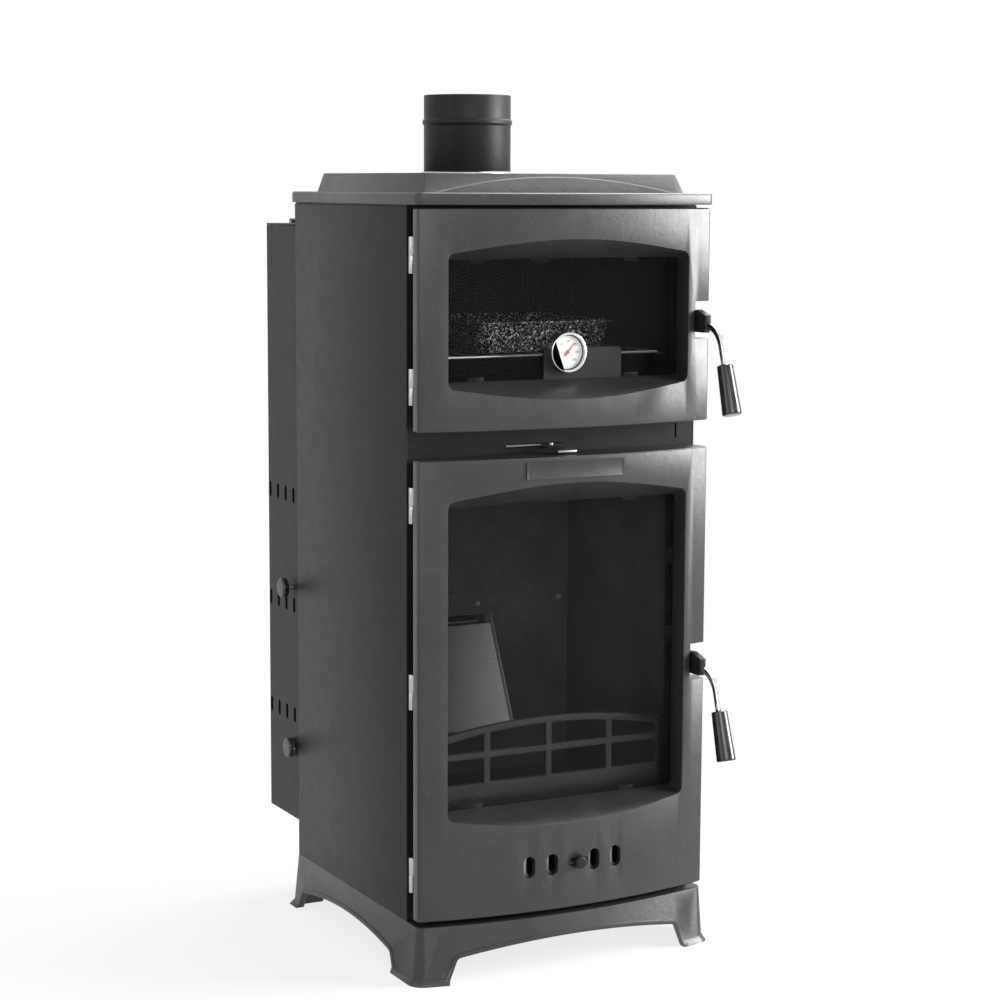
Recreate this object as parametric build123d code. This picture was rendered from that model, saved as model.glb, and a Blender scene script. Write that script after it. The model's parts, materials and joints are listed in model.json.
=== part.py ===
from build123d import *
import os
from math import cos, radians, sin, sqrt

# Free-standing cast-iron stove with an oven above the fire and a pellet hopper behind.
# Millimetres. X to the viewer's right, Y to the back, Z up. The sizes below are measured
# from the floor, the plane of symmetry and the mid depth of the steel body. The parts are
# exported with their origin on the floor, under the middle of the whole stove.

# Middle of the whole stove, with its handles and knobs
middle_x = -4.0
middle_y = -11.86

# Steel body
body_width = 464.0
body_depth = 392.0
body_bottom = 82.0
body_top = 1084.0
side_sheet = 3.0
back_sheet = 3.0
fit_gap = 0.3
tiny = 1.0

# Bow shared by the doors, the base and the top, seen from above
front_proud = 38.0
bow_rise = 28.0

# Base casting with feet
base_wall = 7.0
base_floor = 6.0
base_corner = 12.0
base_draft = 6.0
toe_height = 9.0
toe_reach = 6.0
side_arch_half = 158.0
side_arch_centre = 8.0
side_arch_spring = 27.0
side_arch_crown = 43.0
front_arch_half = 178.0
front_arch_spring = 36.0
front_arch_crown = 52.0
foot_slope = 15.0
arch_corner = 9.0
arch_rim_height = 6.0
arch_rim_proud = 2.0

# Top casting
top_gap = 2.0
top_thick = 16.0
top_overhang = 3.0
top_corner = 10.0
top_chamfer = 2.0
top_wall = 7.0
platform_height = 27.0
platform_inset = 25.0
platform_slope_x = 7.0
platform_forward = 4.0
platform_slope_front = 14.0
platform_back_inset = 28.0
platform_slope_back = 8.0
relief_inset = 17.0
relief_crown = 22.0
relief_proud = 1.6

# Flue
flue_diameter = 130.0
flue_wall = 3.0
flue_seat = 5.0
flue_from_back = 114.0
flue_length = 116.0
flue_bead_height = 76.0
flue_bead_radius = 6.5
flue_bead_proud = 2.2
collar_height = 3.0
collar_width = 4.0

# Front frame, with a rib that the door seals press on
frame_thick = 6.0
mouth_inset = 42.0
oven_mouth = (836.0, 1018.0)
fire_mouth = (104.0, 675.0)
seal_margin = 9.3
rib_width = 3.0
slit_out = 11.0
slit_width = 3.0
slit_height = 21.0
slit_z = 760.0

# Oven
oven_inset = 36.0
oven_low = 826.0
oven_high = 1036.0
oven_deep = 290.0
oven_sheet = 3.0
shelf_z = 876.0
shelf_wire = 4.0
shelf_bar = 3.6
shelf_rods = 11
shelf_inset = 16.0
shelf_deep = 250.0
shelf_front_gap = 14.0
runner_reach = 20.0
runner_thick = 3.0
tray_half = 115.0
tray_deep = 236.0
tray_height = 44.0
tray_wall = 2.0
tray_rim = 7.0
tray_corner = 14.0
tray_rim_corner = 17.5
tray_taper = 8.0
tray_set_back = 20.0
tray_x = 12.0

# Fire chamber
chamber_inset = 32.0
chamber_back_gap = 74.0
lining_thick = 20.0
smoke_gap = 58.0
floor_top = 200.0
floor_thick = 14.0
back_panel_half = 119.0
grate_half = 90.0
grate_deep = 150.0
grate_centre_y = -20.0
grate_thick = 12.0
grate_slots = 9
grate_slot_width = 7.0
grate_border = 12.0
grate_ledge = 6.0
baffle_thick = 10.0
baffle_front = -60.0
strip_low = 450.0
strip_high = 485.0
strip_thick = 3.0
strip_screw_x = 38.0
panel_screw_inset = 17.0
screw_radius = 4.5
screw_head = 3.0
screw_edge = 1.0

# Pellet hopper, duct and chute
hopper_inset = 27.0
hopper_sheet = 2.0
hopper_top_drop = 4.0
hopper_front_gap = 6.0
hopper_back_gap = 6.0
funnel_deep = 130.0
duct_throat = 36.0
duct_half = 50.0
duct_deep = 30.0
duct_bend = 494.0
duct_sheet = 2.0
duct_mouth = (436.0, 457.0)
chute_half = 65.0
chute_drop = 150.0
chute_reach = 73.0
chute_sheet = 3.0
chute_lip = 6.0

# Fence behind the fire glass
fence_gap = 2.0
fence_set_back = 8.0
fence_thick = 8.0
fence_band = 266.0
fence_rail_z = 307.0
fence_end = 334.0
fence_crown = 353.0
fence_bar = 9.0
fence_pitch = 100.0

# Ash drawer on two rails
drawer_half = 112.0
drawer_deep = 250.0
drawer_height = 60.0
drawer_wall = 2.0
drawer_set_back = 10.0
drawer_lip_half = 40.0
drawer_lip_reach = 8.0
drawer_lip_thick = 4.0
rail_width = 14.0
rail_height = 24.7

# Rear casing
casing_deep = 116.0
casing_low = 136.0
casing_high = 1050.0
casing_sheet = 2.0
casing_corner = 4.0
vent_rows = (641.0, 471.0, 299.0)
vent_columns = 4
vent_pitch = 31.0
vent_first = 13.0
vent_width = 9.0
vent_height = 24.0

# Hopper lid, hinged at the back
lid_thick = 3.0
lid_front_gap = 5.0
lid_pin_radius = 2.5
lid_barrel_radius = 5.0
lid_barrel_rise = 5.0
lid_barrel_out = 3.0
lid_barrel_length = 40.0
lid_barrel_x = 150.0
lid_web_height = 20.0
barrel_gap = 0.4
lid_grip_half = 45.0
lid_grip_height = 14.0
lid_grip_thick = 8.0
lid_grip_edge = 2.6

# Pull knobs on the left of the rear casing
knob_diameter = 30.0
knob_thick = 9.0
knob_edge = 3.0
rod_diameter = 8.0
running_clearance = 0.1
rod_out = 20.0
guide_length = 14.0
guide_diameter = 16.0
gate_rise = 4.0
gate_out = 11.0
gate_thick = 3.0
gate_tip = 39.0
gate_length = 112.0
air_z = 247.0
air_out = 3.0
air_hole_radius = 28.0
air_plate_half = 36.0
air_plate_thick = 3.0
air_guide_half = 110.0
air_guide_height = 5.0

# Doors
door_gap = 10.0
door_wall = 6.0
door_corner = 5.0
door_edge = 1.6
oven_door = (777.5, 1081.5)
fire_door = (90.0, 738.5)
recess_inset = 41.0
recess_corner = 16.0
recess_sag = 17.5
recess_nose = 8.0
recess_wall = 5.0
oven_recess = (833.0, 1024.0)
fire_recess = (229.0, 686.0)
oven_sight = (843.0, 1011.0)
fire_sight = (238.0, 668.0)
sight_corner = 4.0
glass_thick = 4.0
glass_lap_x = 3.0
glass_lap_z = 7.0
flange_thick = 5.0
seal_radius = 2.5
seal_round = 2.0
seal_rib = 3.0
seal_corner = 8.0
clip_width = 24.0
clip_thick = 1.6
clip_reach = 12.0
clip_foot = 1.5
oven_clip_x = (-130.0, -30.0, 118.0)
fire_side_clip_z = (578.0, 462.0)

# Plate in the oven glass, and its thermometer
notch_x = (-26.0, 100.0)
notch_top = 886.0
notch_corner = 6.0
dial_x = 9.5
dial_z = 880.0
case_radius = 28.3
case_deep = 11.0
case_back_gap = 0.3
bezel_width = 3.3
bezel_groove = 0.8
dial_recess = 7.0
dial_thick = 0.8
lens_thick = 1.2
lens_set_back = 1.0
stem_radius = 2.4
stem_length = 60.0
needle_length = 19.0
needle_tail = 7.0
needle_width = 1.6
needle_thick = 0.6
needle_hub_radius = 2.2
needle_lift = 1.2
needle_deg = 42.0

# Door hinges
hinge_inset = 5.0
hinge_out = 8.0
knuckle_radius = 4.6
hinge_pin_radius = 2.5
pin_clearance = 0.05
knuckle_height = 25.0
washer_height = 1.6
leaf_thick = 4.0
relief_wide = 16.0
relief_deep = 22.0
oven_hinges = (1018.0, 838.0)
fire_hinges = (674.5, 413.0, 151.5)

# Door handles
handle_inset = 21.0
oven_handle_z = 922.0
fire_handle_z = 424.0
notch_half = 27.0
notch_inner_gap = 0.5
pivot_out = 32.0
pivot_radius = 4.0
pivot_seat = 3.0
pivot_head = 3.0
hub_width = 10.0
hub_nose = 36.0
hub_top = 15.0
hub_nose_top = 8.0
hub_low = 17.0
hub_slope = 2.0
hub_heel = 6.0
hub_cut_y = 4.0
hub_cut_z = 6.0
hook_reach = 26.0
hook_top = 15.0
hook_nose = 3.6
hook_drop = 9.6
hook_root = 12.0
hook_throat = 14.0
catch_pin_radius = 3.0
catch_out = 13.0
catch_pin_rise = 13.0
ear_half = 8.0
lever_width = 8.0
lever_thick = 9.0
lever_edge = 1.6
lever_bend = 40.0
lever_turn_deg = 73.0
lever_run = 26.0
lever_drop = 7.0
grip_length = 72.0
grip_top_radius = 11.5
grip_low_radius = 14.0
grip_edge = 2.0

# Primary air slide on the fire door
slot_width = 18.0
slot_height = 31.0
slot_z = 156.0
slot_offsets = (-70.0, -34.0, 34.0, 70.0)
knob_slot_height = 12.0
knob_slot_end = 2.0
slide_thick = 3.0
slide_half = 94.0
slide_half_height = 22.0
slide_travel = 9.0
slide_knob_x = 8.0
slide_stem_radius = 4.0
slide_knob_radius = 9.0
slide_knob_thick = 9.0
slide_knob_gap = 2.0
slide_rail = 5.0
slide_rail_lip = 3.0

# Damper slide between the doors
damper_x = -4.0
damper_z = 748.0
damper_half = 15.0
damper_reach = 46.0
damper_thick = 3.0
damper_drop = 5.0
damper_travel = 60.0
damper_bend = 12.0
damper_slot_height = 6.0
damper_plate_half = 70.0
damper_plate_deep = 70.0
damper_hole_border = 12.0
damper_bolt_radius = 3.5
damper_bolt_head = 2.5
damper_bolt_x = 7.5
damper_bolt_y = 10.0
smoke_shelf_thick = 4.0
smoke_shelf_deep = 290.0

# Places worked out from the sizes
body_half = body_width / 2
body_front = -body_depth / 2
body_back = body_depth / 2
frame_back = body_front + frame_thick
door_half = body_half
platform_half = body_half - platform_inset
platform_front = platform_forward - body_front
platform_back = body_back - platform_back_inset
relief_half = platform_half - relief_inset
flue_back = body_back - flue_from_back
mouth_half = body_half - mouth_inset
slit_x = mouth_half + slit_out
oven_half = body_half - oven_inset
shelf_half = oven_half - shelf_inset
chamber_half = body_half - chamber_inset
chamber_back = body_back - chamber_back_gap
lining_top = damper_z - smoke_gap
panel_screw_x = chamber_half - panel_screw_inset
hopper_half = body_half - hopper_inset
duct_top = duct_bend + duct_throat
funnel_top = duct_top + funnel_deep
fence_half = mouth_half - fence_gap
fence_y = frame_back + fence_set_back
rod_y = body_back + rod_out
gate_z = duct_bend + gate_rise
recess_half = body_half - recess_inset
hinge_x = hinge_inset - body_half
hinge_y = body_front - hinge_out
relief_right = relief_wide - body_half
relief_front = body_front - relief_deep
handle_x = body_half - handle_inset
pivot_y = body_front - pivot_out
catch_pin_y = body_front - catch_out
corner_front = body_front - front_proud
bow_radius = (body_half**2 + bow_rise**2) / (2 * bow_rise)
bow_centre = corner_front - bow_rise + bow_radius
nose_front = corner_front - bow_rise
top_low = body_top + top_gap
top_high = top_low + top_thick
platform_top = top_high + platform_height
flue_radius = flue_diameter / 2
flue_top = platform_top + flue_length
door_back = body_front - door_gap
glass_back = door_back
glass_front = glass_back - glass_thick
seal_half = mouth_half + seal_margin
casing_back = body_back + casing_deep
inner_half = body_half - side_sheet - fit_gap
drawer_low = body_bottom + rail_height + fit_gap
notch_inner = seal_half + seal_rib + notch_inner_gap
lining_back = chamber_back + lining_thick
duct_front_y = rod_y - duct_deep / 2
duct_back_y = rod_y + duct_deep / 2
duct_slope = (duct_bend - duct_mouth[0]) / (duct_back_y - lining_back)
lining_window = (duct_mouth[0] - duct_sheet, duct_mouth[1] + duct_sheet)
chute_top = lining_window[0]
lid_axis_y = casing_back + lid_barrel_out
lid_axis_z = casing_high + lid_barrel_rise
slide_seat_half = slide_half + slide_travel + slide_rail
dial_floor = case_deep - dial_recess
flue_low = platform_top - flue_seat


def bow_y(x, inset=0.0):
    """Y of the bowed front at x, moved inwards by inset."""
    return bow_centre - sqrt((bow_radius - inset) ** 2 - x**2)


def front_plane(y):
    """Vertical plane facing the viewer: local x is X and local y is Z."""
    return Plane(origin=(0, y, 0), x_dir=(1, 0, 0), z_dir=(0, -1, 0))


def side_plane(x):
    """Vertical plane facing +X: local x is Y and local y is Z."""
    return Plane(origin=(x, 0, 0), x_dir=(0, 1, 0), z_dir=(1, 0, 0))


def block(x, y, z):
    """Box from three pairs of limits."""
    size = Box(x[1] - x[0], y[1] - y[0], z[1] - z[0])
    return Pos((x[0] + x[1]) / 2, (y[0] + y[1]) / 2, (z[0] + z[1]) / 2) * size


def slab_x(points, x):
    """Profile given as (Y, Z) points, drawn along X between two limits."""
    face = make_face(Polyline(*points, close=True))
    return extrude(side_plane(x[0]) * face, x[1] - x[0])


def rod(start, end, radius):
    """Round bar between two points."""
    a = Vector(*start)
    b = Vector(*end)
    return extrude(Plane(origin=a, z_dir=(b - a).normalized()) * Circle(radius), (b - a).length)


def bowed_outline(half, back, inset=0.0, corner=0.0):
    """Plan closed by the bowed front, moved inwards by inset at the sides and front."""
    side = half - inset
    edge = bow_y(side, inset)
    arc = ThreePointArc((-side, edge), (0, bow_y(0, inset)), (side, edge))
    rest = Polyline((side, edge), (side, back), (-side, back), (-side, edge))
    plan = make_face([arc, rest])
    if corner > 0:
        plan = fillet(plan.vertices().sort_by(Axis.Y)[:2], corner)
    return plan


def bowed_prism(half, back, z, inset=0.0, corner=0.0):
    """Upright prism on the bowed plan, between two heights."""
    return Pos(0, 0, z[0]) * extrude(bowed_outline(half, back, inset, corner), z[1] - z[0])


def between(a, b):
    """Two limits in rising order."""
    return (min(a, b), max(a, b))


# Base casting

def arch_face(half, spring, crown, centre=0.0):
    """Opening between two feet, with sloped foot sides and an arched head."""
    left = centre - half
    right = centre + half
    head = ThreePointArc((left, spring), (centre, crown), (right, spring))
    rest = Polyline((right, spring), (right + foot_slope, -tiny), (left - foot_slope, -tiny), (left, spring))
    face = make_face([head, rest])
    return fillet(face.vertices().sort_by(Axis.Y)[2:], arch_corner)


def base_plan(z, grow):
    """Plan of the base at height z, grown outwards all round."""
    return Pos(0, 0, z) * bowed_outline(body_half, body_back + grow, -grow, base_corner + grow)


def base_casting():
    """Hollow plinth with drafted walls, arched aprons, a rolled rim and flared toes."""
    walls = loft([base_plan(0, base_draft), base_plan(body_bottom, 0)], ruled=True)
    toes = loft([base_plan(0, base_draft + toe_reach), base_plan(toe_height, base_draft)], ruled=True)
    rim_skin = loft([base_plan(0, base_draft + arch_rim_proud), base_plan(body_bottom, arch_rim_proud)],
                    ruled=True)
    front_arch = arch_face(front_arch_half, front_arch_spring, front_arch_crown)
    side_arch = arch_face(side_arch_half, side_arch_spring, side_arch_crown, side_arch_centre)
    through_y = body_depth
    front_cut = extrude(front_plane(0) * front_arch, through_y, both=True)
    side_cut = extrude(side_plane(0) * side_arch, body_width, both=True)
    front_rim = extrude(front_plane(0) * offset(front_arch, arch_rim_height), through_y, both=True)
    side_rim = extrude(side_plane(0) * offset(side_arch, arch_rim_height), body_width, both=True)
    rims = rim_skin & (front_rim + side_rim)
    foot_inset = base_wall - base_draft
    hollow = loft([Pos(0, 0, -tiny) * bowed_outline(body_half, body_back - foot_inset, foot_inset),
                   Pos(0, 0, body_bottom - base_floor) * bowed_outline(body_half, body_back - base_wall,
                                                                        base_wall)], ruled=True)
    floor_slab = block((-body_width, body_width), (-body_width, body_width), (0, body_bottom))
    casting = ((walls + toes + rims) & floor_slab) - hollow - front_cut - side_cut
    rail_y = (frame_back, frame_back + drawer_set_back + drawer_deep)
    for side in (-1, 1):
        rail_x = between(side * (drawer_half - rail_width), side * drawer_half)
        casting += block(rail_x, rail_y, (body_bottom, body_bottom + rail_height))
    return casting


# Steel shell

def side_panels():
    """Flat sheets of both sides."""
    sheets = []
    for side in (-1, 1):
        x = between(side * body_half, side * (body_half - side_sheet))
        sheets.append(block(x, (body_front, body_back), (body_bottom, body_top)))
    return Compound(children=sheets)


def back_panel():
    """Rear sheet with the duct opening, the air inlet and the shutter's guides."""
    y = (body_back - back_sheet, body_back)
    panel = block((-inner_half, inner_half), y, (body_bottom, body_top))
    window_half = duct_half + duct_sheet + fit_gap
    window = (slope_z(y[0], duct_mouth[0]) - 2 * duct_sheet, slope_z(y[1], duct_mouth[1]) + 2 * duct_sheet)
    panel -= block((-window_half, window_half), (y[0] - tiny, y[1] + tiny), window)
    panel -= rod((0, y[0] - tiny, air_z), (0, y[1] + tiny, air_z), air_hole_radius)
    guide_x = (-air_guide_half, air_guide_half)
    lip_y = body_back + air_plate_thick + 2 * fit_gap
    for side in (-1, 1):
        near = air_z + side * (air_plate_half + fit_gap)
        far = near + side * air_guide_height
        over = near - side * air_guide_height
        panel += block(guide_x, (body_back, lip_y), between(near, far))
        panel += block(guide_x, (lip_y, lip_y + casing_sheet), between(over, far))
    return panel


def ring_face(half, low, high, width, corner):
    """Rectangular ring, centred on its middle line."""
    height = high - low
    grow = width / 2
    outer = RectangleRounded(2 * (half + grow), height + 2 * grow, corner + grow)
    inner = RectangleRounded(2 * (half - grow), height - 2 * grow, corner - grow)
    return Pos(0, (low + high) / 2) * (outer - inner)


def seal_limits(mouth):
    """Heights of the seal's middle line around a mouth."""
    return (mouth[0] - seal_margin, mouth[1] + seal_margin)


def front_frame():
    """Plate with both mouths, their sealing ribs, the damper slot and a slit."""
    y = (body_front, frame_back)
    frame = block((-inner_half, inner_half), y, (body_bottom, body_top))
    rib_front = door_back + 2 * seal_radius + fit_gap
    for mouth in (oven_mouth, fire_mouth):
        low, high = seal_limits(mouth)
        rib = ring_face(seal_half, low, high, rib_width, seal_corner)
        frame += extrude(front_plane(body_front) * rib, body_front - rib_front)
        frame -= block((-mouth_half, mouth_half), (rib_front - tiny, y[1] + tiny), mouth)
    slot_x = (damper_x - damper_travel - damper_half - fit_gap, damper_x + damper_half + fit_gap)
    through = (y[0] - tiny, y[1] + tiny)
    frame -= block(slot_x, through, (damper_z - damper_slot_height / 2, damper_z + damper_slot_height / 2))
    frame -= block((slit_x - slit_width / 2, slit_x + slit_width / 2), through,
                   (slit_z - slit_height / 2, slit_z + slit_height / 2))
    return frame


# Top casting and flue

def platform(grow, z, shrink_top=0.0):
    """Raised platform with sloped sides, grown outwards, between its foot and head."""
    foot_x = platform_half + grow
    head_x = foot_x - platform_slope_x
    foot = Pos(0, (platform_back - platform_front) / 2, z[0]) * Rectangle(
        2 * foot_x, platform_front + platform_back + 2 * grow)
    head_front = platform_front - platform_slope_front
    head_back = platform_back - platform_slope_back
    head = Pos(0, (head_back - head_front) / 2, z[1] - shrink_top) * Rectangle(
        2 * head_x, head_front + head_back + 2 * grow)
    return loft([foot, head], ruled=True)


def top_casting():
    """Bowed rim plate with a raised platform, an arched relief and the flue hole."""
    plate = bowed_prism(body_half, body_back + top_overhang, (top_low, top_high), -top_overhang, top_corner)
    plate = chamfer(plate.faces().sort_by(Axis.Z)[-1].edges(), top_chamfer)
    raised = platform(0, (top_high, platform_top))
    arc = ThreePointArc((-relief_half, top_high), (0, top_high + relief_crown), (relief_half, top_high))
    arch = make_face([arc, Line((relief_half, top_high), (-relief_half, top_high))])
    proud = platform(relief_proud, (top_high, platform_top))
    relief = proud & extrude(front_plane(-platform_back) * arch, platform_front)
    seat = block((-body_half + tiny, body_half - tiny), (body_front + tiny, body_back - tiny),
                 (body_top, top_low))
    under = block((-platform_half + top_wall, platform_half - top_wall),
                  (-platform_front + top_wall, platform_back - top_wall), (body_top - tiny, top_high))
    hollow = platform(-top_wall, (top_high, platform_top), top_wall)
    socket = rod((0, flue_back, flue_low), (0, flue_back, platform_top + tiny), flue_radius + fit_gap)
    bore = rod((0, flue_back, top_high), (0, flue_back, platform_top), flue_radius - flue_wall)
    return plate + seat + raised + relief - under - hollow - socket - bore


def flue_pipe():
    """Straight outlet with a rolled bead."""
    length = flue_top - flue_low
    tube = Pos(0, 0, flue_low) * extrude(Circle(flue_radius), length)
    centre_r = flue_radius + flue_bead_proud - flue_bead_radius
    ring = Pos(centre_r, platform_top + flue_bead_height) * Circle(flue_bead_radius)
    bead = revolve(Plane.XZ * ring, Axis.Z)
    bore = Pos(0, 0, flue_low - tiny) * extrude(Circle(flue_radius - flue_wall), length + 2 * tiny)
    return Pos(0, flue_back, 0) * (tube + bead - bore)


def flue_collar():
    """Seam ring where the pipe meets the platform."""
    inner = flue_radius + fit_gap
    ring = extrude(Circle(inner + collar_width) - Circle(inner), collar_height)
    ring = chamfer(ring.edges().group_by(Axis.Z)[-1].sort_by(SortBy.LENGTH)[-1:], collar_height / 2)
    return Pos(0, flue_back, platform_top) * ring


# Oven

def oven_box():
    """Open-fronted steel box with a runner for the shelf on each side."""
    y = (frame_back, frame_back + oven_deep)
    outer = block((-oven_half - oven_sheet, oven_half + oven_sheet), (y[0], y[1] + oven_sheet),
                  (oven_low - oven_sheet, oven_high + oven_sheet))
    box = outer - block((-oven_half, oven_half), (y[0] - tiny, y[1]), (oven_low, oven_high))
    runner_top = shelf_z - shelf_wire - fit_gap
    runner_y = (frame_back + shelf_front_gap, frame_back + shelf_front_gap + shelf_deep)
    for side in (-1, 1):
        near = side * (oven_half - runner_reach)
        x = (min(near, side * oven_half), max(near, side * oven_half))
        box += block(x, runner_y, (runner_top - runner_thick, runner_top))
    return box


def oven_shelf():
    """Wire shelf: bars from front to back, welded under two cross wires."""
    r = shelf_wire / 2
    z = shelf_z - r
    y0 = frame_back + shelf_front_gap + r
    y1 = y0 + shelf_deep - shelf_wire
    pitch = 2 * (shelf_half - r) / (shelf_rods - 1)
    shelf = rod((-shelf_half, y0, z), (shelf_half, y0, z), r)
    shelf += rod((-shelf_half, y1, z), (shelf_half, y1, z), r)
    for i in range(shelf_rods):
        x = -shelf_half + r + i * pitch
        shelf += rod((x, y0, z), (x, y1, z), shelf_bar / 2)
    return shelf


def baking_tray():
    """Pressed enamel tray with a flat rim, on the shelf."""
    z = shelf_z + fit_gap
    y0 = frame_back + shelf_front_gap + tray_set_back
    centre = Pos(tray_x, y0 + tray_deep / 2, 0)

    def plan(shrink):
        return RectangleRounded(2 * (tray_half - shrink), tray_deep - 2 * shrink, tray_corner)

    def shell(low, high, shrink):
        return loft([Pos(0, 0, low) * plan(tray_taper + shrink), Pos(0, 0, high) * plan(shrink)], ruled=True)

    body = shell(z, z + tray_height, tray_rim)
    rim_plan = RectangleRounded(2 * tray_half, tray_deep, tray_rim_corner)
    rim = Pos(0, 0, z + tray_height - tray_wall) * extrude(rim_plan, tray_wall)
    hollow = shell(z + tray_wall, z + tray_height + tiny, tray_rim + tray_wall)
    return centre * (body + rim - hollow)


# Fire chamber

def side_linings():
    """Cast linings along both sides of the chamber."""
    linings = []
    for side in (-1, 1):
        x = between(side * chamber_half, side * (chamber_half + lining_thick))
        linings.append(block(x, (frame_back, lining_back), (floor_top, lining_top)))
    return Compound(children=linings)


def back_lining(x):
    """One upright panel of the back lining."""
    return block(x, (chamber_back, lining_back), (floor_top, lining_top))


def outer_linings():
    """Back panels beside the middle one."""
    widths = [between(side * back_panel_half, side * chamber_half) for side in (-1, 1)]
    return Compound(children=[back_lining(x) for x in widths])


def centre_lining():
    """Middle back panel with the mouth of the pellet duct."""
    panel = back_lining((-back_panel_half, back_panel_half))
    mouth = block((-duct_half - duct_sheet - fit_gap, duct_half + duct_sheet + fit_gap),
                  (chamber_back - tiny, lining_back + tiny), lining_window)
    return panel - mouth


def lining_strip():
    """Cover strip over the upper part of the duct mouth."""
    return block((-back_panel_half, back_panel_half), (chamber_back - strip_thick, chamber_back),
                 (strip_low, strip_high))


def domed_screws(points, direction):
    """Screw heads with a chamfered edge, each seated on its point."""
    heads = []
    for point in points:
        head = extrude(Circle(screw_radius), screw_head)
        head = chamfer(head.edges().sort_by(Axis.Z)[-1], screw_edge)
        heads.append(Plane(origin=point, z_dir=direction) * head)
    return heads


def lining_screws():
    """Screws of the cover strip and of the back panels."""
    strip_y = chamber_back - strip_thick
    strip_z = (strip_low + strip_high) / 2
    points = [(side * strip_screw_x, strip_y, strip_z) for side in (-1, 1)]
    points += [(side * panel_screw_x, chamber_back, strip_z) for side in (-1, 1)]
    return Compound(children=domed_screws(points, (0, -1, 0)))


def chamber_floor():
    """Cast floor with a ledged opening for the grate."""
    slab = block((-inner_half, inner_half), (frame_back, body_back - back_sheet),
                 (floor_top - floor_thick, floor_top))
    y = (grate_centre_y - grate_deep / 2 - fit_gap, grate_centre_y + grate_deep / 2 + fit_gap)
    half = grate_half + fit_gap
    seat = block((-half, half), y, (floor_top - grate_thick, floor_top + tiny))
    drop = block((-half + grate_ledge, half - grate_ledge), (y[0] + grate_ledge, y[1] - grate_ledge),
                 (floor_top - floor_thick - tiny, floor_top))
    return slab - seat - drop


def grate():
    """Loose cast grate with long slots."""
    y = (grate_centre_y - grate_deep / 2, grate_centre_y + grate_deep / 2)
    plate = block((-grate_half, grate_half), y, (floor_top - grate_thick, floor_top))
    pitch = 2 * (grate_half - grate_border) / grate_slots
    slot = SlotOverall(grate_deep - 2 * grate_border, grate_slot_width)
    slot = extrude(Rot(0, 0, 90) * slot, 2 * grate_thick, both=True)
    for i in range(grate_slots):
        x = (i - (grate_slots - 1) / 2) * pitch
        plate -= Pos(x, grate_centre_y, floor_top) * slot
    return plate


def baffle():
    """Smoke baffle lying on the linings."""
    half = chamber_half + lining_thick
    return block((-half, half), (baffle_front, lining_back), (lining_top, lining_top + baffle_thick))


def fence():
    """Cast log fence: a plain band, three rails, uprights and an arched head."""
    def arched(shrink):
        half = fence_half - shrink
        end = fence_end - shrink
        foot = floor_top + shrink
        head = ThreePointArc((-half, end), (0, fence_crown - shrink), (half, end))
        rest = Polyline((half, end), (half, foot), (-half, foot), (-half, end))
        return make_face([head, rest])

    windows = arched(fence_bar)
    below = Pos(0, (fence_band + floor_top) / 2) * Rectangle(2 * fence_half, fence_band - floor_top)
    windows -= below
    windows -= Pos(0, fence_rail_z) * Rectangle(2 * fence_half, fence_bar)
    for i in (-1, 0, 1):
        windows -= Pos(i * fence_pitch, fence_rail_z) * Rectangle(fence_bar, 2 * fence_crown)
    return extrude(front_plane(fence_y + fence_thick / 2) * (arched(0) - windows), fence_thick)


# Pellet feed

def slope_z(y, base):
    """Height of a duct wall that rises backwards from the lining."""
    return base + duct_slope * (y - lining_back)


def duct_profile(grow):
    """Side profile of the duct: an upright throat, then a slope down to the lining."""
    mouth_y = lining_back if grow > 0 else lining_back - tiny
    top = duct_top if grow > 0 else duct_top + tiny
    low = duct_mouth[0] - grow
    high = duct_mouth[1] + grow
    return [(mouth_y, slope_z(mouth_y, low)), (duct_back_y + grow, slope_z(duct_back_y + grow, low)),
            (duct_back_y + grow, top), (duct_front_y - grow, top),
            (duct_front_y - grow, slope_z(duct_front_y - grow, high)), (mouth_y, slope_z(mouth_y, high))]


def feed_duct():
    """Sheet duct from the hopper's throat to the lining, slotted for the gate."""
    wall = duct_half + duct_sheet
    duct = slab_x(duct_profile(duct_sheet), (-wall, wall)) - slab_x(duct_profile(0), (-duct_half, duct_half))
    gap = gate_thick / 2 + fit_gap
    slot = block((-wall - tiny, -duct_half + tiny), (duct_front_y, duct_back_y), (gate_z - gap, gate_z + gap))
    return duct - slot


def hopper():
    """Sheet hopper with a flanged top and a funnel down to the duct."""
    flange_top = casing_high - hopper_top_drop
    y = (body_back + hopper_front_gap, casing_back - casing_sheet - hopper_back_gap)

    def shell(shrink, top):
        deep = y[1] - y[0] - 2 * shrink
        wide = 2 * (hopper_half - shrink)
        middle = (y[0] + y[1]) / 2
        box = Pos(0, middle, (funnel_top + top) / 2) * Box(wide, deep, top - funnel_top)
        mouth = Pos(0, middle, funnel_top) * Rectangle(wide, deep)
        throat_y = (duct_front_y + duct_back_y) / 2
        throat = Pos(0, throat_y, duct_top) * Rectangle(
            2 * (duct_half + duct_sheet - shrink), duct_deep + 2 * (duct_sheet - shrink))
        return box + loft([mouth, throat], ruled=True)

    half = body_half - casing_sheet - fit_gap
    flange = block((-half, half), (body_back + fit_gap, casing_back - casing_sheet - fit_gap),
                   (flange_top - hopper_sheet, flange_top))
    return shell(0, flange_top) + flange - shell(hopper_sheet, flange_top + tiny)


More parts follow.
